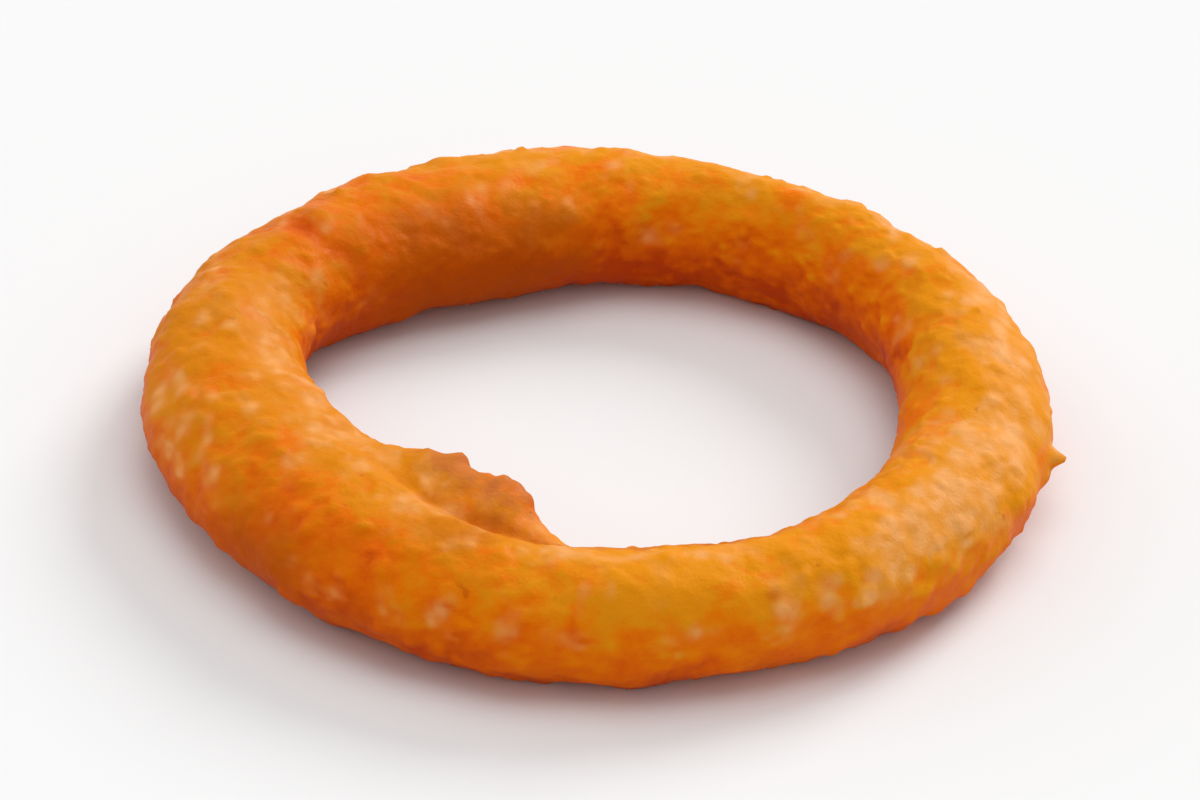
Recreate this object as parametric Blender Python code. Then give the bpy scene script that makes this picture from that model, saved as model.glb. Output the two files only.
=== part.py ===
"""One battered onion ring, lying flat, built as a single closed body.

The batter tube is swept round a slightly uneven circle. Its width and height change on the way
round, gentle lumps cover it, a lip of spare batter stands out over the hole on one side, and the
underside is flattened where the ring lies.
"""

import math

import bmesh
import bpy
from mathutils import Vector, noise

MM = 0.001

# Directions round the ring are measured from +X towards +Y.
# A wave is (how many crests round the ring, how much it adds, direction of a crest in degrees).

# The line that runs along the middle of the batter tube.
RING_RADIUS = 31.7 * MM
RADIUS_WAVES = (
    (2, 0.8 * MM, 15.0),
    (3, 0.6 * MM, 43.0),
    (4, 0.4 * MM, 81.0),
    (5, 0.25 * MM, 30.0),
)

# The oval section of the batter tube.
TUBE_HALF_WIDTH = 6.6 * MM
WIDTH_WAVES = (
    (1, 1.0 * MM, 192.0),
    (2, 0.25 * MM, 176.0),
    (3, 1.0 * MM, 110.0),
    (4, 0.45 * MM, 26.0),
)
TUBE_HALF_HEIGHT = 5.65 * MM
HEIGHT_WAVES = (
    (1, 0.13 * MM, 41.0),
    (2, 0.14 * MM, 37.0),
)

# How far the round underside is flattened where the ring lies.
FLAT_DEPTH = 0.3 * MM

# Gentle lumps in the batter: (size of a lump, height, where its pattern starts).
LUMPS = (
    (9.0 * MM, 0.55 * MM, 3.1),
    (4.2 * MM, 0.32 * MM, 17.4),
)

# The lip of spare batter that stands out over the hole. Across angles are measured in the section
# from the outer side (0) over the top (90) to the side facing the hole (180).
# Along the ring it is two humps that run into one: (direction, span, share of the reach).
LIP_HUMPS = (
    (233.0, 12.0, 0.80),
    (252.0, 9.0, 0.95),
)
LIP_ACROSS = 150.0
LIP_ACROSS_SPAN = 15.0
LIP_REACH = 4.2 * MM
LIP_GROOVE_DIRECTION = 245.0
LIP_GROOVE_LENGTH = 17.0
LIP_GROOVE_ACROSS = 120.0
LIP_GROOVE_SPAN = 9.0
LIP_GROOVE_DEPTH = 0.5 * MM

# The blunt fold where a second run of batter ends.
FOLD_DIRECTION = 145.5
FOLD_SPAN = 5.0
FOLD_ACROSS = 92.0
FOLD_ACROSS_SPAN = 34.0
FOLD_HEIGHT = 0.6 * MM

# How finely the body is faceted.
STEPS_ROUND = 148
STEPS_ACROSS = 26

BATTER_COLOUR = (0.62, 0.20, 0.018, 1.0)
BATTER_ROUGHNESS = 0.5


def wave_sum(base, waves, angle):
    """The base value with every wave added at this direction."""
    total = base
    for crests, amount, crest in waves:
        total += amount * math.cos(crests * (angle - math.radians(crest)))
    return total


def wave_slope(waves, angle):
    """How fast the waves change with direction."""
    slope = 0.0
    for crests, amount, crest in waves:
        slope -= amount * crests * math.sin(crests * (angle - math.radians(crest)))
    return slope


def falloff(angle, centre_degrees, span_degrees):
    """A smooth hump, 1 at the centre direction and fading to 0 beyond the span."""
    away = angle - math.radians(centre_degrees)
    away = math.atan2(math.sin(away), math.cos(away))
    return math.exp(-((away / math.radians(span_degrees)) ** 2))


def lump_height(place):
    """How far the gentle lumps lift the surface at this place."""
    height = 0.0
    for size, amount, start in LUMPS:
        shift = Vector((start, start, start))
        height += amount * noise.noise(place / size + shift)
    return height


def lip_height(around, across):
    """The lip of spare batter and the groove that parts it from the crest of the tube."""
    lip = 0.0
    for direction, span, share in LIP_HUMPS:
        lip += LIP_REACH * share * falloff(around, direction, span)
    groove = LIP_GROOVE_DEPTH * falloff(around, LIP_GROOVE_DIRECTION, LIP_GROOVE_LENGTH)
    lip *= falloff(across, LIP_ACROSS, LIP_ACROSS_SPAN)
    groove *= falloff(across, LIP_GROOVE_ACROSS, LIP_GROOVE_SPAN)
    return lip - groove


def fold_height(around, across):
    """The blunt end of a second run of batter over the first."""
    along = falloff(around, FOLD_DIRECTION, FOLD_SPAN)
    return FOLD_HEIGHT * along * falloff(across, FOLD_ACROSS, FOLD_ACROSS_SPAN)


def surface_point(around, across):
    """A point on the batter, from the direction round the ring and the angle in the section."""
    radius = wave_sum(RING_RADIUS, RADIUS_WAVES, around)
    slope = wave_slope(RADIUS_WAVES, around)
    half_width = wave_sum(TUBE_HALF_WIDTH, WIDTH_WAVES, around)
    half_height = wave_sum(TUBE_HALF_HEIGHT, HEIGHT_WAVES, around)

    run_x = slope * math.cos(around) - radius * math.sin(around)
    run_y = slope * math.sin(around) + radius * math.cos(around)
    run = math.hypot(run_x, run_y)
    out_x, out_y = run_y / run, -run_x / run

    side = math.cos(across) / half_width
    rise = math.sin(across) / half_height
    length = math.hypot(side, rise)
    middle = Vector((radius * math.cos(around), radius * math.sin(around), half_height))
    plain = middle + Vector((out_x, out_y, 0.0)) * half_width * math.cos(across)
    plain.z += half_height * math.sin(across)
    facing = Vector((out_x * side / length, out_y * side / length, rise / length))
    lift = lump_height(plain) + lip_height(around, across) + fold_height(around, across)
    point = plain + facing * lift
    point.z = max(point.z - FLAT_DEPTH, 0.0)
    return point


def batter_material():
    """Golden fried batter."""
    material = bpy.data.materials.new("fried_batter")
    material.use_nodes = True
    shader = material.node_tree.nodes["Principled BSDF"]
    shader.inputs["Base Color"].default_value = BATTER_COLOUR
    shader.inputs["Roughness"].default_value = BATTER_ROUGHNESS
    shader.inputs["Metallic"].default_value = 0.0
    return material


def centre_over_origin(shape):
    """Slide the body sideways until its outer box is centred over the origin."""
    for axis in (0, 1):
        places = [vert.co[axis] for vert in shape.verts]
        middle = (min(places) + max(places)) / 2.0
        for vert in shape.verts:
            vert.co[axis] -= middle


def add_ring(name):
    """Build the closed batter body from rows of points round the tube."""
    shape = bmesh.new()
    rows = []
    for i in range(STEPS_ROUND):
        around = 2.0 * math.pi * i / STEPS_ROUND
        row = []
        for j in range(STEPS_ACROSS):
            across = 2.0 * math.pi * (j + 0.5) / STEPS_ACROSS
            row.append(shape.verts.new(surface_point(around, across)))
        rows.append(row)
    for i in range(STEPS_ROUND):
        here = rows[i]
        ahead = rows[(i + 1) % STEPS_ROUND]
        for j in range(STEPS_ACROSS):
            beside = (j + 1) % STEPS_ACROSS
            face = shape.faces.new((here[j], ahead[j], ahead[beside], here[beside]))
            face.smooth = True
    bmesh.ops.triangulate(shape, faces=shape.faces[:])
    centre_over_origin(shape)
    mesh = bpy.data.meshes.new(name)
    shape.to_mesh(mesh)
    shape.free()
    mesh.materials.append(batter_material())
    ring = bpy.data.objects.new(name, mesh)
    bpy.context.scene.collection.objects.link(ring)
    return ring


def main():
    for leftover in list(bpy.data.objects):
        bpy.data.objects.remove(leftover, do_unlink=True)
    add_ring("onion_ring")


main()
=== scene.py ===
"""One battered and fried onion ring on a pale studio floor.

The file is laid out as a Blender add-on and run as a script. The ring's batter is a Geometry Nodes tube
swept round an uneven circle, with lumps, blisters, crumbs, a lip, a fold and a few sharp spurs raised out
of it. One procedural fried-batter finish colours it.
"""

import math

import bmesh
import bpy
from mathutils import Matrix, Vector


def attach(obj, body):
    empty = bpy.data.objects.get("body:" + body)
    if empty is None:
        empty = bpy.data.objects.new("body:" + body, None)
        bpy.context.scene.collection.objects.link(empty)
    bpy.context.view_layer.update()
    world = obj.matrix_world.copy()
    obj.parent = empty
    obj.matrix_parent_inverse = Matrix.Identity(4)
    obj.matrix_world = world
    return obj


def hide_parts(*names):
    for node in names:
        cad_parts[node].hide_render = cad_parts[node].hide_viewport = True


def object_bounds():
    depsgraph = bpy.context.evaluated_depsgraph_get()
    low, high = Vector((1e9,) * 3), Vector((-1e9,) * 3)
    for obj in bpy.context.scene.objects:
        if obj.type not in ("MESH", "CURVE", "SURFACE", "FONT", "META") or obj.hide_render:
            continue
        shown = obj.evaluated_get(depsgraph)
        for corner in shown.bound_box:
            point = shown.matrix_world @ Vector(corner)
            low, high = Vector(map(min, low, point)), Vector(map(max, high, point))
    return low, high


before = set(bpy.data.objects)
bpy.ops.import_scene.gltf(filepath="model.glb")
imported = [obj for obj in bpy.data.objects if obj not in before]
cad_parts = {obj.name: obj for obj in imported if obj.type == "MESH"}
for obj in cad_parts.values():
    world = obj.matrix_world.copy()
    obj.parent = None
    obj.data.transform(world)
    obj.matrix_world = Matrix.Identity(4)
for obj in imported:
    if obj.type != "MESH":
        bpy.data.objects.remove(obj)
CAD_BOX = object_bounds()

bl_info = {
    "name": "Battered Onion Ring",
    "version": (1, 0, 0),
    "blender": (4, 5, 0),
    "location": "3D View > Sidebar > Onion Ring",
    "description": "Builds one battered and fried onion ring and the stage it lies on",
    "category": "Add Mesh",
}

MM = 0.001
TURN = 2.0 * math.pi
CAD_NODE = "onion_ring"
BODY = "root"
BAKE_MAP = "OFBake"
RELIEF = "relief"
LIP = "lip"
CREASE = "crease"
HOLE_SIDE = "hole_side"
DRYNESS_AND_SHEEN = "dryness"
BROWNING_AND_SHADE = "browning"
GROOVE = "groove"
FOLD = "fold"
SPUR = "spur"

# A wave round the ring: (crests, how much it adds, direction of a crest in degrees from +X).
RADIUS_WAVES = (
    (2, 0.8 * MM, 15.0),
    (3, 0.6 * MM, 43.0),
    (4, 0.4 * MM, 81.0),
    (5, 0.25 * MM, 30.0),
)
WIDTH_WAVES = (
    (1, 1.0 * MM, 192.0),
    (2, 0.25 * MM, 176.0),
    (3, 1.0 * MM, 110.0),
    (4, 0.45 * MM, 26.0),
)
HEIGHT_WAVES = (
    (1, 0.13 * MM, 41.0),
    (2, 0.14 * MM, 37.0),
)

# The side of the tube that faces the hole: an angle across the section and its span, in degrees.
HOLE_SIDE_ACROSS = 185.0
HOLE_SIDE_SPAN = 55.0

# The lip's edge runs in and out a little: how many times in a whole turn, and by what share.
LIP_NOTCHES = 9.0
LIP_NOTCH_SHARE = 0.12

# Sizes of the lumps and grains that stand out of the batter.
LUMP_SIZE = 9.0 * MM
KNOB_SIZE = 4.2 * MM
BLISTER_SIZE = 2.4 * MM
CRUMB_SIZE = 1.6 * MM
BEAD_SIZE = 2.2 * MM
GRAIN_SIZE = 1.3 * MM
CRISP_PATCH_SIZE = 7.0 * MM
LIP_CRUMB_SIZE = 2.4 * MM

# Sizes of the patches and flecks in the batter's colour. The pale flecks, partly a painted sheen, are a
# little longer front to back.
BROAD_SIZE = 12.0 * MM
MOTTLE_SIZE = 3.6 * MM
SPECKLE_SIZE = 1.0 * MM
CRUST_GRAIN_SIZE = 1.6 * MM
FLECK_STRETCH = (1.0, 0.75, 1.0)
BLOTCH_SIZE = 4.6 * MM
CLUSTER_SIZE = 2.4 * MM
FLECK_SIZE = 1.8 * MM
DUST_SIZE = 1.1 * MM
SPECK_SIZE = 2.2 * MM
PORE_SIZE = 0.7 * MM
FINE_PORE_SIZE = 0.3 * MM
PORE_DEPTH = 0.16 * MM
GLOW_DEPTH = 0.8 * MM

# How the colour changes with place: it is redder and darker below this height, partly deeper frying and
# partly painted shade, and painted light makes it grow lighter from -X to +X within this distance of the
# middle. Painted shade towards -X sets in along X at one place and is strongest at the next.
RED_FOOT_HEIGHT = 8.0 * MM
LIGHTER_REACH = 35.0 * MM
SIDE_SHADE_FROM = 5.0 * MM
SIDE_SHADE_TO = -32.0 * MM

# Points closer than this are one point, and this share of the colour map stays free round each strip.
SEAM_GAP = 0.001 * MM
MAP_MARGIN = 0.006

# The soft lights: name, the setting with its strength, how wide it looks in degrees, where it shines from.
LIGHTS = (
    ("key", "key_strength", 25.0, (0.44, 0.68, 0.48)),
    ("overhead", "overhead_strength", 50.0, (0.05, 0.10, 1.0)),
    ("fill", "fill_strength", 37.0, (-0.78, 0.30, 0.42)),
)

# The floor is a wide flat disc, and past it a rim that rises gently.
FLOOR_SIDES = 96
FLOOR_RINGS = 16
FLOOR_FLAT_RADIUS = 3.0
FLOOR_RADIUS = 12.0
FLOOR_RISE = 1.0
FLOOR_PATCH_SIZE = 0.4

# How near and how far the camera sees.
NEAREST_SEEN = 0.01
FARTHEST_SEEN = 20.0

# Humps on the tube: (direction, its span, angle across the section, its span, share), angles in degrees.
# Across the section, 0 is the outer side, 90 the top and 180 the side that faces the hole.
LIP_PLACES = (
    (233.0, 12.0, 150.0, 15.0, 0.80),
    (252.0, 9.0, 150.0, 15.0, 0.95),
)
LIP_GROOVE_PLACES = (
    (245.0, 17.0, 120.0, 8.0, 1.0),
)
FOLD_PLACES = (
    (145.5, 5.0, 92.0, 34.0, 1.0),
)
CREASE_PLACES = (
    (153.5, 2.0, 50.0, 26.0, 1.0),
    (150.5, 2.0, 96.0, 26.0, 1.0),
    (148.5, 2.2, 134.0, 20.0, 0.8),
)

# Where the batter is paler, partly from drier frying and partly a painted sheen, or less so: the same five
# numbers.
DRY_AND_SHEEN_PLACES = (
    (10.0, 50.0, 64.0, 26.0, 0.30),
    (330.0, 22.0, 58.0, 30.0, 0.48),
    (200.0, 32.0, 126.0, 26.0, 0.24),
    (240.0, 18.0, 108.0, 10.0, 0.24),
    (200.0, 38.0, 28.0, 16.0, 0.10),
    (214.0, 14.0, 106.0, 22.0, 0.12),
    (278.0, 26.0, 98.0, 16.0, 0.28),
    (128.0, 20.0, 88.0, 32.0, -0.20),
    (92.0, 26.0, 70.0, 20.0, 0.18),
    (232.0, 28.0, 48.0, 34.0, -0.44),
    (272.0, 34.0, 50.0, 30.0, -0.14),
    (118.0, 45.0, 125.0, 42.0, -0.26),
    (20.0, 50.0, 140.0, 28.0, -0.30),
)

# Where the batter is browner, partly its own colour and partly painted shade on the wall of the hole, by
# the fold and low on the -X side: the same five numbers.
BROWN_AND_SHADE_PLACES = (
    (226.0, 12.0, 5.0, 45.0, 0.64),
    (148.0, 3.2, 74.0, 15.0, 0.45),
    (141.0, 3.6, 60.0, 13.0, 0.35),
    (124.0, 28.0, 195.0, 48.0, 0.90),
    (133.0, 18.0, 128.0, 40.0, 0.50),
    (106.0, 15.0, 142.0, 40.0, 0.38),
    (250.0, 13.0, 95.0, 34.0, 0.40),
    (278.0, 60.0, 126.0, 13.0, 0.50),
    (295.3, 1.5, 44.0, 8.0, 0.50),
    (291.0, 1.1, 34.0, 6.0, 0.35),
)

# Small sharp spurs of batter: the same five numbers.
SPUR_PLACES = (
    (356.0, 1.2, 2.0, 7.0, 0.6),
    (356.6, 0.9, 5.0, 4.5, 0.45),
    (353.6, 1.4, -6.0, 8.0, 0.25),
    (330.0, 2.0, -34.0, 12.0, 0.3),
    (325.0, 3.0, -36.0, 12.0, 0.3),
    (133.0, 2.6, 47.0, 12.0, 0.25),
    (118.5, 2.4, 52.0, 12.0, 0.25),
)


# ---------------------------------------------------------------------------------------------
# Settings that a user would change
# ---------------------------------------------------------------------------------------------

def length_setting(name, description, default):
    """A length in metres, shown in the scene's units."""
    return bpy.props.FloatProperty(
        name=name, description=description, default=default, min=0.0, precision=5,
        subtype="DISTANCE", unit="LENGTH",
    )


def plain_setting(name, description, default):
    """A number without a unit."""
    return bpy.props.FloatProperty(name=name, description=description, default=default, min=0.0)


def angle_setting(name, description, default_degrees):
    """An angle, shown in the scene's units."""
    return bpy.props.FloatProperty(
        name=name, description=description, default=math.radians(default_degrees),
        subtype="ANGLE", unit="ROTATION",
    )


def colour_setting(name, description, default):
    """A linear colour without alpha."""
    return bpy.props.FloatVectorProperty(
        name=name, description=description, default=default, size=3, min=0.0, max=1.0,
        subtype="COLOR",
    )


def count_setting(name, description, default, least):
    """A whole number."""
    return bpy.props.IntProperty(name=name, description=description, default=default, min=least)


def setting_names(group):
    """The names of a group's own settings, in their order."""
    return [key for key in group.bl_rna.properties.keys() if key not in ("name", "rna_type")]


class RingSizes(bpy.types.PropertyGroup):
    """Sizes of the batter tube and of what stands out of it."""

    ring_radius: length_setting("Ring radius", "From the ring's middle to the tube's middle", 31.7 * MM)
    tube_half_width: length_setting("Tube half width", "Half the tube's mean width", 6.6 * MM)
    tube_half_height: length_setting("Tube half height", "Half the tube's mean height", 5.6 * MM)
    flat_depth: length_setting("Flat depth", "How much of the round underside is flattened", 0.3 * MM)
    lip_reach: length_setting("Lip reach", "How far the lip of spare batter stands over the hole", 4.4 * MM)
    groove_depth: length_setting("Groove depth", "Groove between the lip and the tube's crest", 0.6 * MM)
    fold_height: length_setting("Fold height", "Height of the blunt fold in the batter", 0.65 * MM)
    crease_depth: length_setting("Crease depth", "Depth of the crease at the foot of the fold", 0.3 * MM)
    spur_height: length_setting("Spur height", "Height of the longest sharp spur", 1.8 * MM)
    lump_height: length_setting("Lump height", "Height of the broad soft lumps", 0.6 * MM)
    knob_height: length_setting("Knob height", "Height of the smaller lumps between them", 0.42 * MM)
    blister_height: length_setting("Blister height", "Height of the fried blisters", 0.2 * MM)
    crumb_height: length_setting("Crumb height", "Height of the crumbs fried into the surface", 0.17 * MM)
    bead_height: length_setting("Bead height", "Height of the small beads that catch the light", 0.21 * MM)
    grain_height: length_setting("Grain height", "Height of the fine crisp grain", 0.13 * MM)
    steps_round: count_setting("Steps round", "Faces round the ring", 620, 16)
    steps_across: count_setting("Steps across", "Faces round the tube", 150, 8)


class BatterColours(bpy.types.PropertyGroup):
    """Colours of the fried batter."""

    # Umber, russet and gold are the ends of the tone, which paints shade and light: umber in the deepest
    # hollows, russet on low flanks and the wall of the hole, gold on lit crests.
    gold: colour_setting("Gold", "Well-lit crests and flanks", (0.73, 0.250, 0.004))
    amber: colour_setting("Amber", "Main colour of the batter", (0.78, 0.175, 0.001))
    russet: colour_setting("Russet", "Low flanks and the wall of the hole", (0.73, 0.120, 0.001))
    umber: colour_setting("Umber", "Deepest hollows", (0.52, 0.052, 0.001))
    # This pale colour is partly the batter's own flecks and partly a painted sheen.
    tan: colour_setting("Tan", "Pale dry flecks on the crests", (0.78, 0.345, 0.100))
    # This colour is partly browner batter and partly painted shade.
    toast_and_shade: colour_setting("Toasted", "Places that browned more", (0.44, 0.068, 0.001))
    crust: colour_setting("Crust", "Dull thick crust on the lip", (0.55, 0.150, 0.030))
    scorched: colour_setting("Scorched", "Overdone specks and tips", (0.32, 0.055, 0.003))


class StageSettings(bpy.types.PropertyGroup):
    """Floor, light and camera."""

    floor_colour: colour_setting("Floor colour", "Colour of the plain floor", (0.80, 0.80, 0.80))
    key_strength: plain_setting("Key strength", "Strength of the soft light behind at the right", 1.85)
    overhead_strength: plain_setting("Overhead strength", "Strength of the soft light above", 0.88)
    fill_strength: plain_setting("Fill strength", "Strength of the soft light at the left", 0.30)
    world_light: plain_setting("World light", "Strength of the even light all round", 0.57)
    backdrop_light: plain_setting("Backdrop light", "How bright the room looks past the floor", 0.955)
    camera_height: angle_setting("Camera height", "How steeply the camera looks down", 33.4)
    camera_roll: angle_setting("Camera roll", "How far the camera leans sideways", 5.0)
    camera_distance: length_setting("Camera distance", "From the camera to the ring", 0.55)
    lens: plain_setting("Lens", "Focal length in millimetres", 190.0)


# ---------------------------------------------------------------------------------------------
# Node trees written as expressions
# ---------------------------------------------------------------------------------------------

def is_vector(side):
    """Whether a value or a wire holds a vector or a colour and not one number."""
    if isinstance(side, Wire):
        return side.socket.type in ("VECTOR", "RGBA")
    return isinstance(side, tuple)


class Wire:
    """A socket that can be added, subtracted, multiplied and divided like a number or a vector."""

    def __init__(self, tree, socket):
        self.tree = tree
        self.socket = socket

    def combine(self, operation, first, second):
        """Vector Math if either side is a vector, and Math otherwise."""
        maths = self.tree.vector if is_vector(first) or is_vector(second) else self.tree.math
        return maths(operation, first, second)

    def __add__(self, other):
        return self.combine("ADD", self, other)

    def __radd__(self, other):
        return self.combine("ADD", other, self)

    def __sub__(self, other):
        return self.combine("SUBTRACT", self, other)

    def __rsub__(self, other):
        return self.combine("SUBTRACT", other, self)

    def __mul__(self, other):
        if is_vector(self) and not is_vector(other):
            return self.tree.scaled(self, other)
        if is_vector(other) and not is_vector(self):
            return self.tree.scaled(other, self)
        return self.combine("MULTIPLY", self, other)

    def __rmul__(self, other):
        return self * other

    def __truediv__(self, other):
        return self.combine("DIVIDE", self, other)

    def __rtruediv__(self, other):
        return self.combine("DIVIDE", other, self)

    def __pow__(self, other):
        return self.combine("POWER", self, other)

    def __rpow__(self, other):
        return self.combine("POWER", other, self)


class Tree:
    """A node tree and the few ways in which this script adds nodes to it."""

    def __init__(self, tree):
        self.tree = tree

    def add(self, kind, settings=None, values=None):
        """Any node: its type, its settings, and the values or wires of its sockets by name or number."""
        node = self.tree.nodes.new(kind)
        for key, setting in (settings or {}).items():
            if key == "stops":
                self.set_stops(node.color_ramp.elements, setting)
            else:
                setattr(node, key, setting)
        for key, value in (values or {}).items():
            self.feed(node.inputs[key], value)
        return node

    def set_stops(self, elements, stops):
        """Give a colour ramp its stops, each a place and a colour."""
        for _ in range(len(stops) - len(elements)):
            elements.new(1.0)
        for element, (place, colour) in zip(elements, stops):
            element.position = place
            element.color = colour

    def feed(self, socket, value):
        """Set a socket, or link it if the value is a wire."""
        if isinstance(value, Wire):
            self.tree.links.new(value.socket, socket)
        elif value is not None:
            socket.default_value = value

    def out(self, node, key=0):
        return Wire(self, node.outputs[key])

    def math(self, operation, *values):
        return self.out(self.add("ShaderNodeMath", {"operation": operation}, dict(enumerate(values))))

    def vector(self, operation, *values):
        return self.out(self.add("ShaderNodeVectorMath", {"operation": operation}, dict(enumerate(values))))

    def scaled(self, vector, share):
        values = {0: vector, "Scale": share}
        return self.out(self.add("ShaderNodeVectorMath", {"operation": "SCALE"}, values))

    def join(self, x, y, z):
        return self.out(self.add("ShaderNodeCombineXYZ", None, {0: x, 1: y, 2: z}))

    def split(self, vector):
        node = self.add("ShaderNodeSeparateXYZ", None, {0: vector})
        return self.out(node, 0), self.out(node, 1), self.out(node, 2)

    def ramp(self, value, low, high, to_low=0.0, to_high=1.0):
        """A smooth step from to_low at low to to_high at high."""
        settings = {"interpolation_type": "SMOOTHSTEP"}
        values = {0: value, 1: low, 2: high, 3: to_low, 4: to_high}
        return self.out(self.add("ShaderNodeMapRange", settings, values))

    def noise(self, place, size, detail=2.0, roughness=0.5, distortion=0.0):
        """Noise whose lumps are about this size in metres, from 0 to 1."""
        values = {
            "Vector": place, "Scale": 1.0 / size, "Detail": detail, "Roughness": roughness,
            "Distortion": distortion,
        }
        return self.out(self.add("ShaderNodeTexNoise", None, values))

    def cells(self, place, size, smooth):
        """Distance to the middle of the nearest cell, in cells, with soft borders between the cells."""
        values = {"Vector": place, "Scale": 1.0 / size, "Smoothness": smooth}
        return self.out(self.add("ShaderNodeTexVoronoi", {"feature": "SMOOTH_F1"}, values), "Distance")

    def cell_number(self, place, size):
        """A random number from 0 to 1 for each cell."""
        values = {"Vector": place, "Scale": 1.0 / size}
        colour = self.out(self.add("ShaderNodeTexVoronoi", {"feature": "F1"}, values), "Color")
        return self.split(colour)[0]

    def mix(self, share, first, second, blend="MIX"):
        """Mix two colours."""
        settings = {"data_type": "RGBA", "blend_type": blend, "clamp_factor": True}
        node = self.add("ShaderNodeMix", settings)
        self.feed(node.inputs[0], share)
        self.feed(node.inputs[6], first)
        self.feed(node.inputs[7], second)
        return self.out(node, 2)


# ---------------------------------------------------------------------------------------------
# Geometry Nodes
# ---------------------------------------------------------------------------------------------

class Growth(Tree):
    """A Geometry Nodes tree with named inputs, and the object that carries it."""

    def __init__(self, name):
        super().__init__(bpy.data.node_groups.new(name, "GeometryNodeTree"))
        self.entry = self.tree.nodes.new("NodeGroupInput")
        self.given = {}
        self.tree.interface.new_socket("Geometry", in_out="OUTPUT", socket_type="NodeSocketGeometry")

    def ask(self, name, kind, value):
        """A named input and the value that the modifier will give it."""
        socket = self.tree.interface.new_socket(name, in_out="INPUT", socket_type="NodeSocket" + kind)
        self.given[socket.identifier] = value
        return Wire(self, self.entry.outputs[name])

    def place(self):
        return self.out(self.add("GeometryNodeInputPosition"))

    def normal(self):
        return self.out(self.add("GeometryNodeInputNormal"))

    def read(self, name):
        values = {"Name": name}
        return self.out(self.add("GeometryNodeInputNamedAttribute", {"data_type": "FLOAT"}, values))

    def store(self, geometry, name, value, kind="FLOAT", domain="POINT"):
        settings = {"data_type": kind, "domain": domain}
        values = {"Geometry": geometry, "Name": name, "Value": value}
        return self.out(self.add("GeometryNodeStoreNamedAttribute", settings, values))

    def move(self, geometry, position=None, offset=None):
        values = {"Geometry": geometry, "Position": position, "Offset": offset}
        return self.out(self.add("GeometryNodeSetPosition", None, values))

    def wave_sum(self, base, waves, around):
        """The base value with every wave added at this direction."""
        total = base
        for crests, amount, crest in waves:
            cosine = self.math("COSINE", around * crests - crests * math.radians(crest))
            total = total + cosine * amount
        return total

    def wave_slope(self, waves, around):
        """How fast the waves change with direction."""
        slope = 0.0
        for crests, amount, crest in waves:
            sine = self.math("SINE", around * crests - crests * math.radians(crest))
            slope = sine * (-amount * crests) + slope
        return slope

    def hump(self, angle, centre_degrees, span_degrees):
        """A smooth hump over an angle, 1 at its centre."""
        away = self.math("PINGPONG", angle - math.radians(centre_degrees), math.pi)
        return self.math("EXPONENT", (away / math.radians(span_degrees)) ** 2.0 * -1.0)

    def humps(self, around, across, places):
        """The sum of several humps on the tube, each with its own share."""
        total = 0.0
        for direction, span, section, section_span, share in places:
            hump = self.hump(around, direction, span) * self.hump(across, section, section_span)
            total = hump * share + total
        return total

    def finish(self, geometry, material):
        """Realize, give the material, and close the tree."""
        real = self.out(self.add("GeometryNodeRealizeInstances", None, {0: geometry}))
        smooth = self.out(self.add("GeometryNodeSetShadeSmooth", None, {0: real}))
        painted = self.add("GeometryNodeSetMaterial", None, {"Geometry": smooth, "Material": material})
        leave = self.add("NodeGroupOutput")
        self.tree.links.new(painted.outputs[0], leave.inputs[0])

    def grow(self, name):
        """Run the tree once and keep the result as a plain mesh object."""
        host = bpy.data.objects.new(name, bpy.data.meshes.new(name))
        bpy.context.scene.collection.objects.link(host)
        modifier = host.modifiers.new(name, "NODES")
        modifier.node_group = self.tree
        for identifier, value in self.given.items():
            modifier[identifier] = value
        depsgraph = bpy.context.evaluated_depsgraph_get()
        mesh = bpy.data.meshes.new_from_object(host.evaluated_get(depsgraph))
        host.modifiers.clear()
        host.data = mesh
        mesh.name = name
        if not mesh.polygons:
            raise RuntimeError(name + " came out empty")
        return host


def quarter_strips(tree, around_share, across_share):
    """Lay the tube's surface out as four strips, one above another in each corner of the map."""
    settings = {"domain": "FACE", "data_type": "FLOAT"}
    face_share = tree.out(tree.add("GeometryNodeFieldOnDomain", settings, {0: around_share}))
    quarter = tree.math("FLOOR", face_share * 4.0)
    column = tree.math("MODULO", quarter, 2.0)
    row = tree.math("FLOOR", quarter / 2.0)
    along = (around_share * 4.0 - quarter) * (0.5 - 2.0 * MAP_MARGIN) + MAP_MARGIN
    over = across_share * (0.5 - 2.0 * MAP_MARGIN) + MAP_MARGIN
    return tree.join(along + column * 0.5, over + row * 0.5, 0.0)


def batter_surface(tree, sizes, around, across):
    """Where the plain batter tube runs, from the direction round the ring and the angle across."""
    radius = tree.wave_sum(sizes["ring_radius"], RADIUS_WAVES, around)
    slope = tree.wave_slope(RADIUS_WAVES, around)
    half_width = tree.wave_sum(sizes["tube_half_width"], WIDTH_WAVES, around)
    half_height = tree.wave_sum(sizes["tube_half_height"], HEIGHT_WAVES, around)
    cosine = tree.math("COSINE", around)
    sine = tree.math("SINE", around)
    run_x = slope * cosine - radius * sine
    run_y = slope * sine + radius * cosine
    run = tree.math("SQRT", run_x * run_x + run_y * run_y)
    reach = half_width * tree.math("COSINE", across)
    height = half_height * (tree.math("SINE", across) + 1.0)
    x = radius * cosine + run_y / run * reach
    y = radius * sine - run_x / run * reach
    return tree.join(x, y, height)


def flat_sheet(tree, sizes):
    """The sheet that is rolled into the tube, and how far round and across each of its points lies."""
    corners = {"Vertices X": sizes["steps_round"] + 1, "Vertices Y": sizes["steps_across"] + 1}
    sheet = tree.out(tree.add("GeometryNodeMeshGrid", None, {"Size X": 1.0, "Size Y": 1.0, **corners}))
    x, y, _ = tree.split(tree.place())
    return sheet, x + 0.5, y + 0.5


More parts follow.
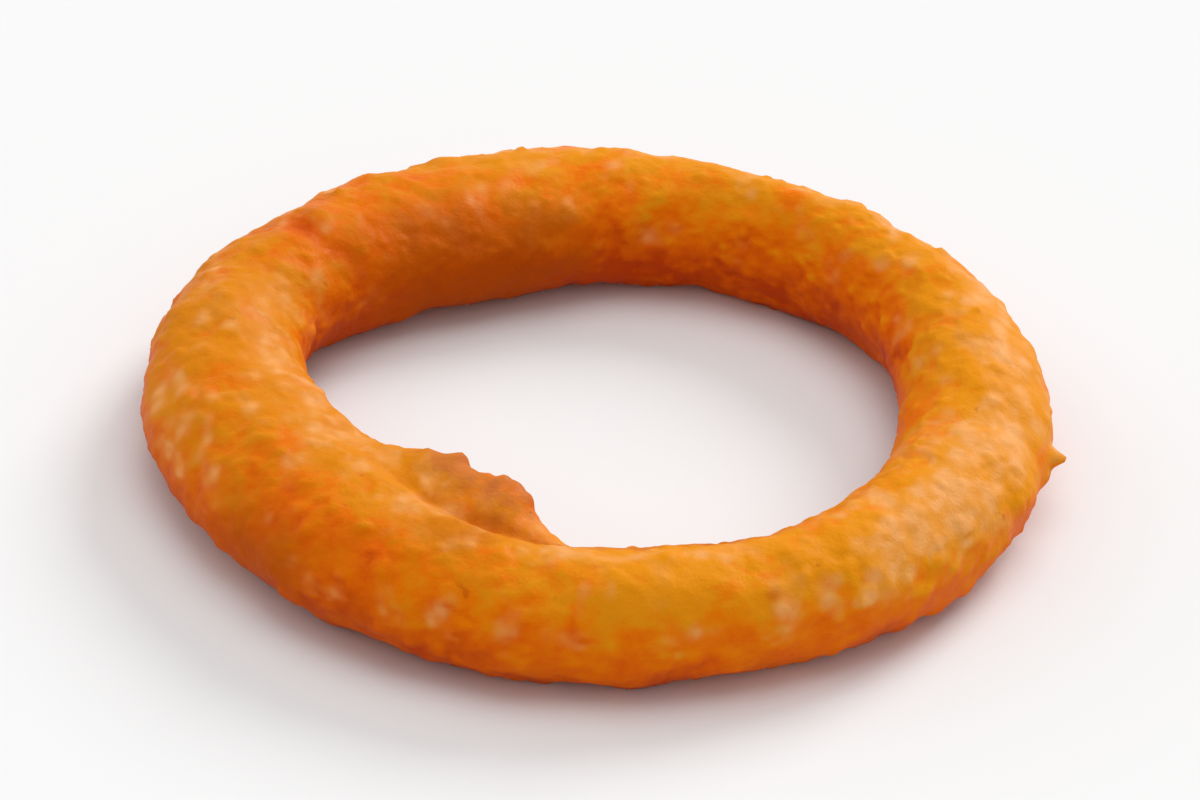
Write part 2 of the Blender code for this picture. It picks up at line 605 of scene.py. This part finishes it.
def mark_places(tree, shape, around, across):
    """Store on the sheet where the lip, the fold and the other places are."""
    notch = tree.math("COSINE", around * LIP_NOTCHES) * LIP_NOTCH_SHARE + 1.0
    shape = tree.store(shape, LIP, tree.humps(around, across, LIP_PLACES) * notch)
    shape = tree.store(shape, GROOVE, tree.humps(around, across, LIP_GROOVE_PLACES))
    shape = tree.store(shape, FOLD, tree.humps(around, across, FOLD_PLACES))
    shape = tree.store(shape, CREASE, tree.humps(around, across, CREASE_PLACES))
    shape = tree.store(shape, SPUR, tree.humps(around, across, SPUR_PLACES))
    shape = tree.store(shape, DRYNESS_AND_SHEEN, tree.humps(around, across, DRY_AND_SHEEN_PLACES))
    shape = tree.store(shape, BROWNING_AND_SHADE, tree.humps(around, across, BROWN_AND_SHADE_PLACES))
    return tree.store(shape, HOLE_SIDE, tree.hump(across, HOLE_SIDE_ACROSS, HOLE_SIDE_SPAN))


def soft_relief(tree, sizes):
    """How far the lumps, the lip and the fold lift the tube, less the groove and the crease."""
    place = tree.place()
    lump = tree.noise(place, LUMP_SIZE, 1.0) - 0.5
    knob = tree.noise(place + (0.3, 0.1, 0.2), KNOB_SIZE, 1.0) - 0.5
    lift = lump * sizes["lump_height"] * 2.0 + knob * sizes["knob_height"] * 2.0
    lift = lift + tree.read(LIP) * sizes["lip_reach"] + tree.read(FOLD) * sizes["fold_height"]
    return lift - tree.read(GROOVE) * sizes["groove_depth"] - tree.read(CREASE) * sizes["crease_depth"]


def crisp_relief(tree, sizes):
    """How far the blisters, crumbs and the rest lift the batter, and a measure of it for the finish."""
    place = tree.place()
    crumb_place = place + (0.2, 0.5, 0.1)
    blister = tree.ramp(tree.cells(place, BLISTER_SIZE, 0.35), 0.48, 0.05)
    blister = blister * tree.ramp(tree.cell_number(place, BLISTER_SIZE), 0.35, 0.9)
    crumb = tree.ramp(tree.cells(crumb_place, CRUMB_SIZE, 0.1), 0.45, 0.08)
    crumb = crumb * tree.ramp(tree.cell_number(crumb_place, CRUMB_SIZE), 0.6, 0.85)
    patch = tree.ramp(tree.noise(place, CRISP_PATCH_SIZE, 1.0), 0.35, 0.65, 0.5, 1.0)
    grain = (tree.noise(place, GRAIN_SIZE, 2.0, 0.55) - 0.5) * patch
    bead = tree.ramp(tree.noise(place + (0.6, 0.2, 0.7), BEAD_SIZE, 2.0, 0.5), 0.45, 0.72) * patch
    ragged = tree.read(LIP) * (tree.noise(place + (0.1, 0.0, 0.4), LIP_CRUMB_SIZE, 1.0, 0.5) - 0.5)
    spur = tree.read(SPUR)

    lift = blister * sizes["blister_height"] + crumb * sizes["crumb_height"]
    lift = lift + grain * sizes["grain_height"] * 3.0 + ragged * sizes["lip_reach"] * 0.5
    lift = lift + bead * sizes["bead_height"] + spur * sizes["spur_height"]
    raised = blister * 0.2 + crumb * 0.25 + bead * 0.5 + grain * 1.2 + ragged * 1.6 + spur * 0.5 + 0.3
    return lift, raised


def batter_tree(settings, material):
    """The whole batter body as one Geometry Nodes tree."""
    tree = Growth("Batter ring")
    sizes = {}
    for key in setting_names(settings):
        kind = "Int" if key.startswith("steps") else "Float"
        sizes[key] = tree.ask(key.replace("_", " ").capitalize(), kind, getattr(settings, key))
    finish = tree.ask("Material", "Material", material)

    shape, around_share, across_share = flat_sheet(tree, sizes)
    around = around_share * TURN
    across = across_share * TURN
    strips = quarter_strips(tree, around_share, across_share)
    shape = tree.store(shape, BAKE_MAP, strips, "FLOAT2", "CORNER")
    shape = mark_places(tree, shape, around, across)
    shape = tree.move(shape, batter_surface(tree, sizes, around, across))
    seam = {"Geometry": shape, "Distance": SEAM_GAP}
    shape = tree.out(tree.add("GeometryNodeMergeByDistance", None, seam))

    shape = tree.move(shape, None, tree.normal() * soft_relief(tree, sizes))
    box = tree.add("GeometryNodeBoundBox", None, {0: shape})
    middle = (tree.out(box, "Min") + tree.out(box, "Max")) * -0.5
    lift, raised = crisp_relief(tree, sizes)
    shape = tree.store(shape, RELIEF, raised)
    shape = tree.move(shape, None, tree.normal() * lift)

    x, y, z = tree.split(tree.place())
    low = tree.math("MAXIMUM", z - sizes["flat_depth"], 0.0)
    shape = tree.move(shape, tree.join(x, y, low))
    shape = tree.move(shape, None, middle * (1.0, 1.0, 0.0))
    for spare in (GROOVE, FOLD, SPUR):
        shape = tree.out(tree.add("GeometryNodeRemoveAttribute", None, {"Geometry": shape, "Name": spare}))
    tree.finish(shape, finish)
    return tree


# ---------------------------------------------------------------------------------------------
# Finishes
# ---------------------------------------------------------------------------------------------

def new_material(name):
    """An empty material, its tree and its shader."""
    material = bpy.data.materials.new(name)
    material.use_nodes = True
    tree = Tree(material.node_tree)
    return material, tree, material.node_tree.nodes["Principled BSDF"]


def attribute(tree, name):
    return tree.out(tree.add("ShaderNodeAttribute", {"attribute_name": name}), "Fac")


def colour_of(values):
    return (*values, 1.0)


def batter_material(colours):
    """Fried batter: russet in the hollows to gold on the crests, painted as shade and light, browner places
    that are partly painted shade, and pale flecks that are partly a painted sheen.
    """
    material, tree, shader = new_material("fried_batter")
    place = tree.out(tree.add("ShaderNodeTexCoord"), "Object")
    side, _, height = tree.split(place)
    facing = tree.split(tree.out(tree.add("ShaderNodeNewGeometry"), "Normal"))[2]
    relief = attribute(tree, RELIEF)
    lip = attribute(tree, LIP)
    hole_side = attribute(tree, HOLE_SIDE)
    crease = attribute(tree, CREASE)
    # Paler places, partly a painted sheen, and browner places, partly painted shade, as stored on the ring.
    dryness = attribute(tree, DRYNESS_AND_SHEEN) - crease * 0.3
    browning = attribute(tree, BROWNING_AND_SHADE)

    broad = tree.noise(place, BROAD_SIZE, 2.0, 0.5)
    mottle = tree.noise(place + (0.2, 0.0, 0.1), MOTTLE_SIZE, 3.0, 0.55, 0.3)
    speckle = tree.noise(place + (0.0, 0.2, 0.3), SPECKLE_SIZE, 3.0, 0.65)
    ragged = tree.noise(place + (0.4, 0.0, 0.0), CRUST_GRAIN_SIZE, 3.0, 0.6)

    # The tone, from umber to gold, paints light and shade: lighter on crests that face up, darker and
    # redder on flanks and undersides that face down and low at the foot, where the batter is also a little
    # deeper fried.
    tone = tree.ramp(facing, -0.5, 1.0, 0.15, 0.60) + tree.ramp(height, 0.0, RED_FOOT_HEIGHT, -0.06, 0.02)
    # Painted light: lighter towards +X, the side that the key light shines from.
    tone = tone + tree.ramp(side, -LIGHTER_REACH, LIGHTER_REACH, 0.03, 0.09)
    # Painted shade: darker on the side that faces the hole, the more so the less it faces up.
    tone = tone - tree.ramp(hole_side, 0.1, 0.9) * tree.ramp(facing, 0.95, 0.1) * 0.14
    # Uneven colour from noise, with painted light on raised grain and painted shade in the hollows between.
    uneven = (broad - 0.5) * 0.50 + (mottle - 0.5) * 1.00 + (speckle - 0.5) * 0.24 + (relief - 0.4) * 0.30
    # Darker on the lip, and painted shade along the crease.
    tone = tone + uneven * tree.ramp(facing, -0.2, 0.7, 0.6, 1.0) - lip * 0.20 - crease * 0.12
    # Painted sheen: lighter at the paler places, partly drier frying.
    tone = tone + dryness * 0.5
    stops = (
        (0.02, colour_of(colours.umber)),
        (0.24, colour_of(colours.russet)),
        (0.44, colour_of(colours.amber)),
        (0.68, colour_of(colours.gold)),
    )
    body = tree.out(tree.add("ShaderNodeValToRGB", {"stops": stops}, {"Fac": tone}))

    # Toast colour: painted shade a little towards -X, more at the browner places, which are partly painted
    # shade, and painted shade along the crease.
    toast_and_shade = colour_of(colours.toast_and_shade)
    body = tree.mix(tree.ramp(side, SIDE_SHADE_FROM, SIDE_SHADE_TO) * 0.24, body, toast_and_shade)
    browned_and_shaded = tree.ramp(browning + (mottle - 0.5) * 0.8, 0.05, 0.95)
    body = tree.mix(browned_and_shaded, body, toast_and_shade)
    body = tree.mix(crease * 0.22, body, toast_and_shade)

    # Pale flecks that gather in clusters, finer ones between them, and a haze over the driest places, where
    # the batter faces up: partly the batter's own pale flecks and partly a painted sheen.
    fleck_place = place * FLECK_STRETCH
    near = tree.cells(fleck_place + (0.1, 0.3, 0.1), FLECK_SIZE, 0.6)
    blotch = (tree.noise(fleck_place + (0.5, 0.1, 0.3), BLOTCH_SIZE, 1.0) - 0.5) * 1.6 + dryness
    cluster = (tree.noise(fleck_place + (0.2, 0.6, 0.3), CLUSTER_SIZE, 0.0) - 0.5) * 1.4
    flecks = tree.ramp(near, 0.74, 0.04) * tree.ramp(blotch + cluster, -0.18, 0.40)
    small = tree.ramp(tree.noise(fleck_place, DUST_SIZE, 0.0), 0.50, 0.72) * tree.ramp(blotch, -0.1, 0.4)
    haze = tree.ramp(blotch, 0.04, 0.60)
    dry_and_sheen = tree.math("MINIMUM", flecks * 0.95 + small * 0.42 + haze * 0.32, 1.0)
    dry_and_sheen = dry_and_sheen * tree.ramp(facing, 0.0, 0.55) * (1.0 - browned_and_shaded) * tree.ramp(lip, 0.1, 0.6, 1.0, 0.4)
    body = tree.mix(dry_and_sheen * 0.85, body, colour_of(colours.tan))

    # Dull crust on the lip, with a ragged border.
    crusted = tree.ramp(lip + (mottle - 0.5) * 1.6 + (ragged - 0.5) * 0.8, 0.3, 0.9)
    crusted = crusted * tree.ramp(lip, 0.05, 0.4)
    body = tree.mix(crusted * 0.85, body, colour_of(colours.crust))

    # A few small overdone specks.
    speck = tree.ramp(tree.noise(place + (0.6, 0.1, 0.5), SPECK_SIZE, 3.0, 0.6), 0.68, 0.76)
    body = tree.mix(speck * 0.35, body, colour_of(colours.scorched))

    tree.feed(shader.inputs["Base Color"], body)
    tree.feed(shader.inputs["Roughness"], tree.ramp(mottle + (relief - 0.4) * 0.3, 0.3, 0.7, 0.40, 0.58))
    tree.feed(shader.inputs["Coat Weight"], dry_and_sheen * 0.08)
    shader.inputs["Coat Roughness"].default_value = 0.45
    shader.inputs["Specular IOR Level"].default_value = 0.05
    shader.inputs["Specular Tint"].default_value = (1.0, 0.80, 0.45, 1.0)
    shader.inputs["Subsurface Weight"].default_value = 0.06
    shader.inputs["Subsurface Radius"].default_value = (1.0, 0.35, 0.1)
    shader.inputs["Subsurface Scale"].default_value = GLOW_DEPTH

    pores = tree.noise(place, PORE_SIZE, 3.0, 0.6) + tree.noise(place, FINE_PORE_SIZE, 1.0) * 0.35
    bump = tree.add("ShaderNodeBump", None, {"Strength": 0.6, "Distance": PORE_DEPTH, "Height": pores})
    tree.feed(shader.inputs["Normal"], tree.out(bump))
    return material


def floor_material(colour):
    """A plain matt floor with the faintest unevenness."""
    material, tree, shader = new_material("plain_floor")
    place = tree.out(tree.add("ShaderNodeTexCoord"), "Object")
    shade = tree.noise(place, FLOOR_PATCH_SIZE, 1.0) * 0.01 + 0.995
    tree.feed(shader.inputs["Base Color"], tree.mix(1.0, colour_of(colour), shade, "MULTIPLY"))
    shader.inputs["Roughness"].default_value = 0.9
    shader.inputs["Specular IOR Level"].default_value = 0.1
    return material


# ---------------------------------------------------------------------------------------------
# Pieces
# ---------------------------------------------------------------------------------------------

def join_frame(piece):
    """Let the finished ring stand for the CAD ring and ride on its body."""
    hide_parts(CAD_NODE)
    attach(piece, BODY)


class ONION_OT_batter_ring(bpy.types.Operator):
    """Build the batter body of the onion ring"""

    bl_idname = "onion_ring.batter_ring"
    bl_label = "Batter ring"

    def execute(self, context):
        scene = context.scene
        tree = batter_tree(scene.ring_sizes, batter_material(scene.batter_colours))
        join_frame(tree.grow("batter_ring"))
        return {"FINISHED"}


def add_light(name, strength, softness_degrees, toward):
    """A soft light that shines evenly over the whole floor from this direction."""
    data = bpy.data.lights.new(name, "SUN")
    data.energy = strength
    data.angle = math.radians(softness_degrees)
    light = bpy.data.objects.new(name, data)
    light.rotation_euler = Vector(toward).to_track_quat("Z", "Y").to_euler()
    bpy.context.scene.collection.objects.link(light)


def add_floor(settings):
    """A wide round floor under the ring, flat in the middle and rising gently far away."""
    bm = bmesh.new()
    rings = []
    for step in range(FLOOR_RINGS + 1):
        share = step / FLOOR_RINGS
        radius = FLOOR_FLAT_RADIUS + (FLOOR_RADIUS - FLOOR_FLAT_RADIUS) * share
        rim = []
        for side in range(FLOOR_SIDES):
            angle = TURN * side / FLOOR_SIDES
            x = radius * math.cos(angle)
            y = radius * math.sin(angle)
            rim.append(bm.verts.new((x, y, FLOOR_RISE * share * share)))
        rings.append(rim)
    bm.faces.new(rings[0])
    for near, far in zip(rings, rings[1:]):
        for side in range(FLOOR_SIDES):
            ahead = (side + 1) % FLOOR_SIDES
            bm.faces.new((near[side], far[side], far[ahead], near[ahead]))
    for face in bm.faces:
        face.smooth = True
    mesh = bpy.data.meshes.new("floor")
    bm.to_mesh(mesh)
    bm.free()
    mesh.materials.append(floor_material(settings.floor_colour))
    floor = bpy.data.objects.new("floor", mesh)
    bpy.context.scene.collection.objects.link(floor)
    return floor


def add_camera(settings, target):
    """A long lens that looks down on the ring from the front."""
    data = bpy.data.cameras.new("camera")
    data.lens = settings.lens
    data.clip_start = NEAREST_SEEN
    data.clip_end = FARTHEST_SEEN
    camera = bpy.data.objects.new("camera", data)
    back = Vector((0.0, -math.cos(settings.camera_height), math.sin(settings.camera_height)))
    aim = (-back).to_track_quat("-Z", "Y").to_matrix().to_4x4()
    roll = Matrix.Rotation(settings.camera_roll, 4, "Z")
    camera.matrix_world = Matrix.Translation(target + back * settings.camera_distance) @ aim @ roll
    bpy.context.scene.collection.objects.link(camera)
    return camera


def add_room(settings):
    """Even light all round. To the camera the room looks as bright as the floor that it borders."""
    world = bpy.data.worlds.new("soft_room")
    world.use_nodes = True
    tree = Tree(world.node_tree)
    background = world.node_tree.nodes["Background"]
    background.inputs["Color"].default_value = (1.0, 1.0, 1.0, 1.0)
    seen = tree.out(tree.add("ShaderNodeLightPath"), "Is Camera Ray")
    strength = settings.world_light + seen * (settings.backdrop_light - settings.world_light)
    tree.feed(background.inputs["Strength"], strength)
    return world


class ONION_OT_stage(bpy.types.Operator):
    """Lay the floor, hang the lights and set up the camera"""

    bl_idname = "onion_ring.stage"
    bl_label = "Stage"

    def execute(self, context):
        scene = context.scene
        settings = scene.stage_settings
        add_floor(settings)
        for name, strength, softness_degrees, toward in LIGHTS:
            add_light(name, getattr(settings, strength), softness_degrees, toward)
        scene.world = add_room(settings)
        lowest, highest = CAD_BOX
        scene.camera = add_camera(settings, (Vector(lowest) + Vector(highest)) / 2.0)
        scene.view_settings.view_transform = "Standard"
        return {"FINISHED"}


class ONION_PT_panel(bpy.types.Panel):
    """Lists the pieces of the onion ring"""

    bl_label = "Onion Ring"
    bl_idname = "ONION_PT_panel"
    bl_space_type = "VIEW_3D"
    bl_region_type = "UI"
    bl_category = "Onion Ring"

    def draw(self, context):
        layout = self.layout
        for operator in OPERATORS:
            layout.operator(operator.bl_idname)
        for name in SETTINGS:
            group = getattr(context.scene, name)
            for key in setting_names(group):
                layout.prop(group, key)


OPERATORS = (ONION_OT_batter_ring, ONION_OT_stage)
SETTINGS = {
    "ring_sizes": RingSizes,
    "batter_colours": BatterColours,
    "stage_settings": StageSettings,
}


def register():
    """Register the settings, the operators and the panel."""
    for name, group in SETTINGS.items():
        bpy.utils.register_class(group)
        setattr(bpy.types.Scene, name, bpy.props.PointerProperty(type=group))
    for kind in (*OPERATORS, ONION_PT_panel):
        bpy.utils.register_class(kind)


def unregister():
    """Take everything out again."""
    for kind in (ONION_PT_panel, *reversed(OPERATORS)):
        bpy.utils.unregister_class(kind)
    for name, group in reversed(SETTINGS.items()):
        delattr(bpy.types.Scene, name)
        bpy.utils.unregister_class(group)


def main():
    """Build every piece and the stage."""
    register()
    bpy.ops.onion_ring.batter_ring()
    bpy.ops.onion_ring.stage()


if __name__ == "__main__":
    main()
